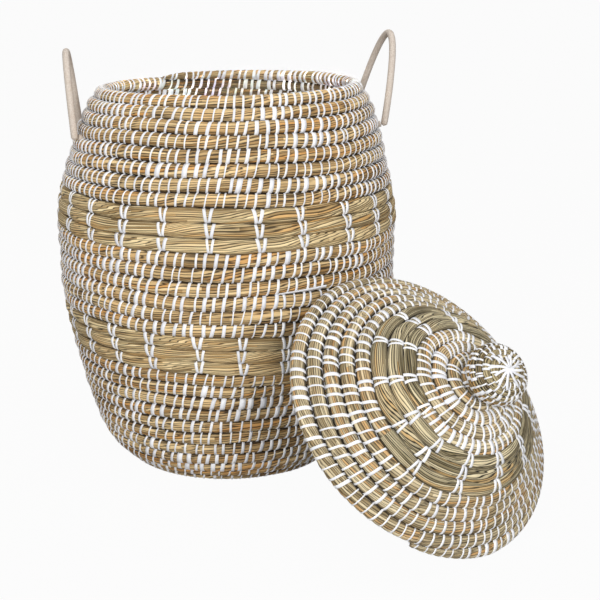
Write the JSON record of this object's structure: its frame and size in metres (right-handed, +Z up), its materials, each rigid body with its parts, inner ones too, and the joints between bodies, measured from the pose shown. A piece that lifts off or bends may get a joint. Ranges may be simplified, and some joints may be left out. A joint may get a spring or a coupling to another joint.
{
  "type": "lidded laundry basket",
  "caption": "Bellied laundry basket of coiled straw with rope loop handles that fold outward and a conical knobbed lid, taken off and leaning on the wall.",
  "frame": {"origin": "middle of the basket's base, on the floor", "axes": "+Z up through the mouth; -Y towards the viewer, where the lid leans on the right; +X towards the right handle"},
  "size_m": [0.641, 0.6417, 0.5821],
  "materials": {
    "straw": "dry plant fibre, matte",
    "band_straw": "dry plant fibre, matte",
    "lid_straw": "dry plant fibre, matte",
    "cord": "wrapped cord, matte",
    "lashing": "flat plastic strip, satin"
  },
  "bodies": {
    "basket": {"base_centre": "straw", "base_coil": "straw", "lower_wall_coils": "straw", "lower_band_coils": "band_straw", "middle_wall_coils": "straw", "upper_band_coils": "band_straw", "upper_wall_coils": "straw", "rim_coil": "straw", "right_handle_front_knot": "cord", "right_handle_back_knot": "cord", "left_handle_front_knot": "cord", "left_handle_back_knot": "cord"},
    "right_handle": {"right_handle_loop": "cord"},
    "left_handle": {"left_handle_loop": "cord"},
    "lid": {"lid_centre": "lid_straw", "lid_inner_coils": "lid_straw", "lid_band_coils": "band_straw", "lid_outer_coils": "lid_straw", "lid_rim_coil": "lid_straw", "lid_knob": "lid_straw"}
  },
  "joints": [
    {"name": "right_handle_swing", "type": "hinge", "parent": "basket", "child": "right_handle", "pos_m": [0.19656, 0.05688, 0.46313], "axis": [-0.2873, 0.9578, 0.0133], "range_deg": [-30, 130]},
    {"name": "left_handle_swing", "type": "hinge", "parent": "basket", "child": "left_handle", "pos_m": [-0.1981, -0.02471, 0.45406], "axis": [0.1264, -0.9919, 0.013], "range_deg": [-15, 140]},
    {"name": "lid_lift", "type": "slide", "parent": "basket", "child": "lid", "axis": [0, 0, 1], "range_m": [0, 0.6]}
  ]
}
